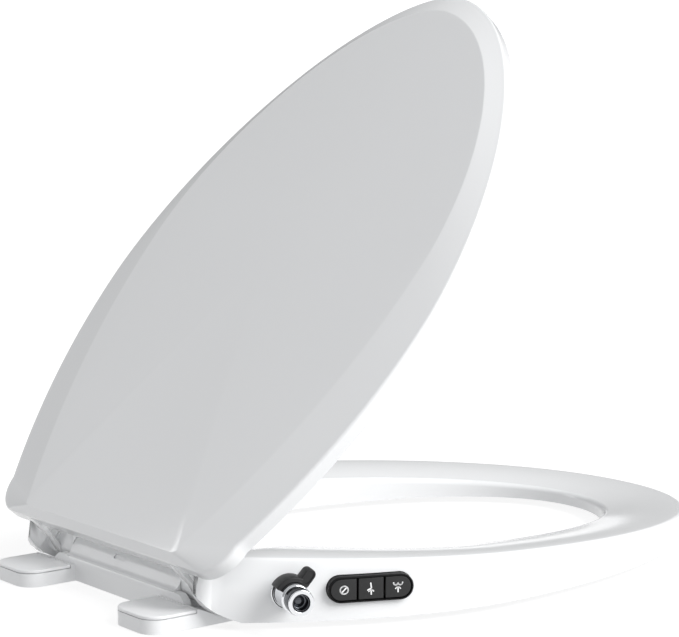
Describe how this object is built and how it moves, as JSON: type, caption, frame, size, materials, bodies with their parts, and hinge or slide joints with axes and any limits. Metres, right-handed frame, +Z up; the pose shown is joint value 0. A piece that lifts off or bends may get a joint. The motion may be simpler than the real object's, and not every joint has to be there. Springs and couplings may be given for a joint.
{
  "type": "bidet toilet seat",
  "caption": "Elongated toilet seat with an open lid, a side water valve with a lever, a row of push buttons and a sliding wash nozzle.",
  "frame": {"origin": "on the plane of the bowl's rim, under the middle of the hinge line, on the base's underside", "axes": "+Z up, -Y to the front of the seat, -X to the side that carries the valve and buttons"},
  "size_m": [0.363, 0.5105, 0.3887],
  "materials": {
    "white_plastic": "smooth glossy white moulding",
    "cover_plastic": "satin white moulding",
    "black_plastic": "satin black moulding",
    "soft_bumper": "soft pale rubber",
    "grey_plastic": "plain grey moulding",
    "chrome": "polished chrome plate",
    "steel": "plain stainless steel",
    "hose": "flexible grey-white tubing"
  },
  "bodies": {
    "base": {"base_housing": "white_plastic", "foot_cap_left": "white_plastic", "foot_cap_right": "white_plastic", "soft_close_damper_left": "grey_plastic", "soft_close_damper_right": "grey_plastic", "hinge_pin_left": "steel", "hinge_pin_right": "steel"},
    "lid": {"lid_shell": "white_plastic", "lid_bumper_1": "soft_bumper", "lid_bumper_2": "soft_bumper", "lid_bumper_3": "soft_bumper", "lid_bumper_4": "soft_bumper"},
    "seat": {"seat_shell": "white_plastic", "seat_bottom_cover": "cover_plastic", "seat_bumper_1": "soft_bumper", "seat_bumper_2": "soft_bumper", "seat_bumper_3": "soft_bumper", "seat_bumper_4": "soft_bumper", "inlet_valve_body": "chrome", "inlet_lock_nut": "steel", "inlet_collar": "chrome", "inlet_nipple": "grey_plastic", "button_bezel": "black_plastic", "button_spring_stop": "steel", "button_spring_rear_wash": "steel", "button_spring_front_wash": "steel", "valve_block": "grey_plastic", "nozzle_chamber": "grey_plastic", "inlet_hose": "hose", "rear_wash_hose": "hose", "front_wash_hose": "hose"},
    "lever": {"pressure_lever": "black_plastic"},
    "button_stop": {"button_stop": "black_plastic"},
    "button_rear_wash": {"button_rear_wash": "black_plastic"},
    "button_front_wash": {"button_front_wash": "black_plastic"},
    "nozzle": {"nozzle_slider": "cover_plastic"}
  },
  "joints": [
    {"name": "lid_hinge", "type": "hinge", "parent": "base", "child": "lid", "pos_m": [0, 0, 0.018], "axis": [-1, 0, 0], "range_deg": [-52, 42]},
    {"name": "seat_hinge", "type": "hinge", "parent": "base", "child": "seat", "pos_m": [0, 0, 0.018], "axis": [-1, 0, 0], "range_deg": [0, 38]},
    {"name": "lever_turn", "type": "hinge", "parent": "seat", "child": "lever", "pos_m": [-0.1336, -0.0215, 0.0246], "axis": [-0.9397, 0.342, 0], "range_deg": [-50, 40]},
    {"name": "button_stop_press", "type": "slide", "parent": "seat", "child": "button_stop", "axis": [0.916, -0.4012, 0], "range_m": [0, 0.0015], "stiffness_N_per_m": 300},
    {"name": "button_rear_wash_press", "type": "slide", "parent": "seat", "child": "button_rear_wash", "axis": [0.916, -0.4012, 0], "range_m": [0, 0.0015], "stiffness_N_per_m": 300},
    {"name": "button_front_wash_press", "type": "slide", "parent": "seat", "child": "button_front_wash", "axis": [0.916, -0.4012, 0], "range_m": [0, 0.0015], "stiffness_N_per_m": 300},
    {"name": "nozzle_slide", "type": "slide", "parent": "seat", "child": "nozzle", "axis": [0, -1, 0], "range_m": [0, 0.012], "stiffness_N_per_m": 60}
  ]
}
